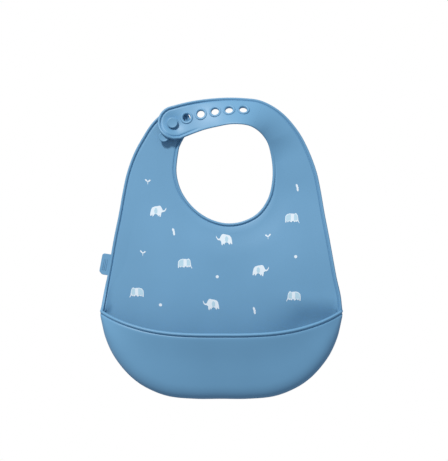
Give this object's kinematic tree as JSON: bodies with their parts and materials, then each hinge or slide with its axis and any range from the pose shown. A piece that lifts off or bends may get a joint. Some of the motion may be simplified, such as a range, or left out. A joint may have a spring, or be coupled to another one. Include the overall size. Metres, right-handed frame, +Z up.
{
  "type": "silicone bib",
  "caption": "Soft bib for feeding, with an open catch pocket along its lower edge and an adjustable neck strap that buttons over studs on the shoulder.",
  "frame": {"origin": "middle of the neck opening, in the plane of the chest panel's flat back", "axes": "+Z up towards the neck strap, -Y out of the printed front, +X to the right seen from the front"},
  "size_m": [0.2344, 0.0399, 0.2887],
  "materials": {
    "silicone": "matte",
    "silicone_raised": "matte",
    "print_white": "matte",
    "print_pale": "matte"
  },
  "bodies": {
    "bib": {"chest_panel": "silicone", "outer_rim_left": "silicone_raised", "outer_rim_right": "silicone_raised", "neck_rim": "silicone_raised", "pocket_base": "silicone", "pocket_side_left": "silicone", "pocket_side_right": "silicone", "lip_left": "silicone_raised", "lip_right": "silicone_raised", "elephant_1": "print_white", "elephant_2": "print_white", "elephant_3": "print_white", "elephant_4": "print_white", "elephant_5": "print_white", "elephant_6": "print_white", "elephant_7": "print_white", "elephant_8": "print_white", "sprout_1": "print_white", "sprout_2": "print_white", "sprout_3": "print_white", "feather_1": "print_white", "feather_2": "print_white", "feather_3": "print_white", "dot_1": "print_pale", "dot_2": "print_pale", "dot_3": "print_pale"},
    "shoulder_tab": {"shoulder_tab": "silicone", "tab_rim": "silicone_raised", "stud_upper": "silicone", "stud_lower": "silicone"},
    "strap_shoulder": {"strap_shoulder": "silicone_raised", "strap_rim_shoulder": "silicone_raised", "eyelet_6": "silicone"},
    "strap_middle": {"strap_middle": "silicone_raised", "strap_rim_middle": "silicone_raised", "eyelet_5": "silicone", "eyelet_4": "silicone"},
    "strap_end": {"strap_end": "silicone_raised", "strap_rim_end": "silicone_raised", "eyelet_3": "silicone", "eyelet_2": "silicone", "eyelet_1": "silicone"},
    "pocket_front": {"pocket_front": "silicone", "lip_front": "silicone_raised"},
    "side_tag": {"side_tag": "silicone"}
  },
  "joints": [
    {"name": "strap_root_bend", "type": "hinge", "parent": "bib", "child": "strap_shoulder", "pos_m": [0.0603, -0.0046, 0.0312], "axis": [0.9318, 0, 0.3629], "range_deg": [0, 70], "stiffness_Nm_per_rad": 0.03, "springref_deg": -6.88, "deforming": ["eyelet_1"]},
    {"name": "strap_middle_bend", "type": "hinge", "parent": "strap_shoulder", "child": "strap_middle", "pos_m": [0.01413, -0.01222, 0.0594], "axis": [0.0272, 0.6063, 0.7948], "range_deg": [0, 45], "stiffness_Nm_per_rad": 0.02, "springref_deg": -6.88},
    {"name": "strap_end_bend", "type": "hinge", "parent": "strap_middle", "child": "strap_end", "pos_m": [-0.01308, -0.00973, 0.05711], "axis": [-0.2101, 0.4114, 0.8869], "range_deg": [0, 50], "stiffness_Nm_per_rad": 0.015, "springref_deg": -6.88},
    {"name": "tab_bend", "type": "hinge", "parent": "bib", "child": "shoulder_tab", "pos_m": [-0.0577, 0.0006, 0.0293], "axis": [-0.904, 0, 0.4275], "range_deg": [0, 35], "stiffness_Nm_per_rad": 0.02, "springref_deg": -5.73},
    {"name": "pocket_press", "type": "hinge", "parent": "bib", "child": "pocket_front", "pos_m": [0, -0.0258, -0.2059], "axis": [-1, 0, 0], "range_deg": [-10, 28], "stiffness_Nm_per_rad": 0.08, "deforming": ["pocket_side_left", "pocket_side_right", "lip_left", "lip_right"]},
    {"name": "tag_flex", "type": "hinge", "parent": "bib", "child": "side_tag", "pos_m": [-0.1086, -0.001, -0.0891], "axis": [0.1799, 0, 0.9837], "range_deg": [-40, 40], "stiffness_Nm_per_rad": 0.002}
  ]
}
